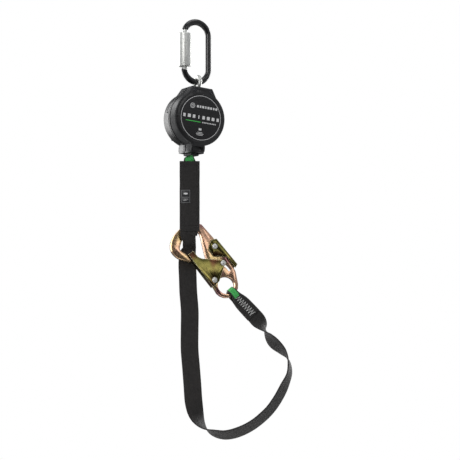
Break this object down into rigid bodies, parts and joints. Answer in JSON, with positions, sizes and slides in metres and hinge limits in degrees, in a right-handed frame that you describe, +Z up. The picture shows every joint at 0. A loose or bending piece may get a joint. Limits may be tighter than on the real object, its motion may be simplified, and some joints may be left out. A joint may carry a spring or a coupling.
{
  "type": "self retracting lifeline",
  "caption": "Self retracting lifeline: twist-lock carabiner, swivel eye, round webbing reel, flat absorber cover and webbing leg ending in a double-locking snap hook.",
  "frame": {"origin": "inner top of the carabiner's bow, where the lifeline hangs from its anchor", "axes": "+Z up; the carabiner lies in the XZ plane with its gate on the -X side; the reel's drum axis is along Y and its label faces -Y"},
  "size_m": [0.2025, 0.1095, 0.7051],
  "materials": {
    "black_paint": "black gloss paint on steel",
    "bright_steel": "bright zinc-plated steel",
    "yellow_plated": "yellow-passivated zinc plating",
    "forged_plated": "yellow-passivated zinc plating on a forging, pinkish gold",
    "black_plastic": "black moulded plastic, semi gloss",
    "grey_nylon": "grey nylon",
    "black_rubber": "black rubber",
    "label": null,
    "black_webbing": "black woven webbing",
    "green_webbing": "green woven webbing",
    "white_thread": "white sewing thread",
    "grey_tag": "grey framed tag",
    "bronze": "bearing bronze"
  },
  "bodies": {
    "carabiner": {"carabiner_frame": "black_paint", "carabiner_hinge_pin": "bright_steel"},
    "carabiner_gate_body": {"carabiner_gate": "bright_steel", "carabiner_plunger": "bronze", "carabiner_gate_spring": "bright_steel"},
    "locking_sleeve_body": {"locking_sleeve": "bright_steel"},
    "eye": {"swivel_eye": "bright_steel", "swivel_nut": "bright_steel"},
    "housing": {"front_cover": "black_plastic", "rear_cover": "black_plastic", "seam_gasket_left": "black_rubber", "seam_gasket_right": "black_rubber", "label_disc": "label", "load_frame": "bright_steel", "swivel_bush": "bronze", "drum_axle": "bright_steel", "axle_clip": "bright_steel", "ratchet_ring": "bright_steel", "spring_cup": "black_plastic", "power_spring": "bright_steel", "mouth_guide": "grey_nylon", "mouth_bumper": "black_rubber", "cover_screw_1": "bright_steel", "cover_screw_2": "bright_steel", "cover_screw_3": "bright_steel", "cover_screw_4": "bright_steel"},
    "drum": {"webbing_drum": "black_plastic", "drum_bush_front": "bronze", "drum_bush_rear": "bronze", "wound_webbing": "green_webbing", "pawl_plate": "bright_steel", "pawl_pin_a": "bright_steel", "pawl_pin_b": "bright_steel", "pawl_spring_a": "bright_steel", "pawl_spring_b": "bright_steel"},
    "pawl_a_body": {"pawl_a": "bright_steel"},
    "pawl_b_body": {"pawl_b": "bright_steel"},
    "leg": {"lead_webbing": "green_webbing", "absorber_cover": "black_webbing", "absorber_pack": "green_webbing", "cover_tag": "grey_tag", "leg_webbing": "black_webbing", "eye_loop_webbing": "black_webbing", "wear_pad": "green_webbing", "stitch_block": "white_thread"},
    "hook": {"hook_forging": "forged_plated", "lever_rivet": "bright_steel", "gate_rivet": "bright_steel"},
    "hook_gate_body": {"hook_gate": "yellow_plated", "gate_stop_pin": "bright_steel", "hook_gate_spring": "bright_steel"},
    "lock_lever_body": {"lock_lever": "yellow_plated", "lock_lever_spring": "bright_steel"}
  },
  "joints": [
    {"name": "carabiner_gate_hinge", "type": "hinge", "parent": "carabiner", "child": "carabiner_gate_body", "pos_m": [-0.0215, 0, -0.0722], "axis": [0, 1, 0], "range_deg": [0, 28], "stiffness_Nm_per_rad": 0.05, "springref_deg": -34.38},
    {"name": "sleeve_twist", "type": "hinge", "parent": "carabiner_gate_body", "child": "locking_sleeve_body", "pos_m": [-0.0215, 0, -0.04], "axis": [0, 0, 1], "range_deg": [0, 90], "stiffness_Nm_per_rad": 0.02, "springref_deg": -34.38},
    {"name": "eye_swing", "type": "hinge", "parent": "carabiner", "child": "eye", "pos_m": [0.002, 0, -0.095], "axis": [1, 0, 0], "range_deg": [-50, 50]},
    {"name": "housing_swivel", "type": "hinge", "parent": "eye", "child": "housing", "pos_m": [0.002, 0, -0.095], "axis": [0.0958, 0, 0.9954], "continuous": true},
    {"name": "webbing_payout", "type": "slide", "parent": "housing", "child": "leg", "axis": [0, 0, -1], "range_m": [0, 1.5], "stiffness_N_per_m": 10, "springref_m": -2, "deforming": ["lead_webbing"]},
    {"name": "drum_spin", "type": "hinge", "parent": "housing", "child": "drum", "pos_m": [-0.00404, 0, -0.15771], "axis": [0, -1, 0], "range_deg": [0, 3421]},
    {"name": "pawl_a_swing", "type": "hinge", "parent": "drum", "child": "pawl_a_body", "pos_m": [-0.00193, 0, -0.13581], "axis": [0, -1, 0], "range_deg": [0, 8], "stiffness_Nm_per_rad": 0.002, "springref_deg": -34.38},
    {"name": "pawl_b_swing", "type": "hinge", "parent": "drum", "child": "pawl_b_body", "pos_m": [-0.00615, 0, -0.17961], "axis": [0, -1, 0], "range_deg": [0, 8], "stiffness_Nm_per_rad": 0.002, "springref_deg": -34.38},
    {"name": "hook_swing", "type": "hinge", "parent": "leg", "child": "hook", "pos_m": [0.04665, -0.01671, -0.4352], "axis": [-0.2255, -0.9494, 0.2186], "range_deg": [-2, 2]},
    {"name": "hook_gate_hinge", "type": "hinge", "parent": "hook", "child": "hook_gate_body", "pos_m": [0.02727, -0.01015, -0.42671], "axis": [0.2255, 0.9494, -0.2186], "range_deg": [0, 24], "stiffness_Nm_per_rad": 0.1, "springref_deg": -45.84},
    {"name": "lock_lever_hinge", "type": "hinge", "parent": "hook", "child": "lock_lever_body", "pos_m": [0.0336, 0.0012, -0.37089], "axis": [0.2255, 0.9494, -0.2186], "range_deg": [0, 4], "stiffness_Nm_per_rad": 0.1, "springref_deg": -45.84}
  ],
  "couplings": [
    {"joint": "drum_spin", "follows": "webbing_payout", "rad_per_m": 39.794}
  ]
}
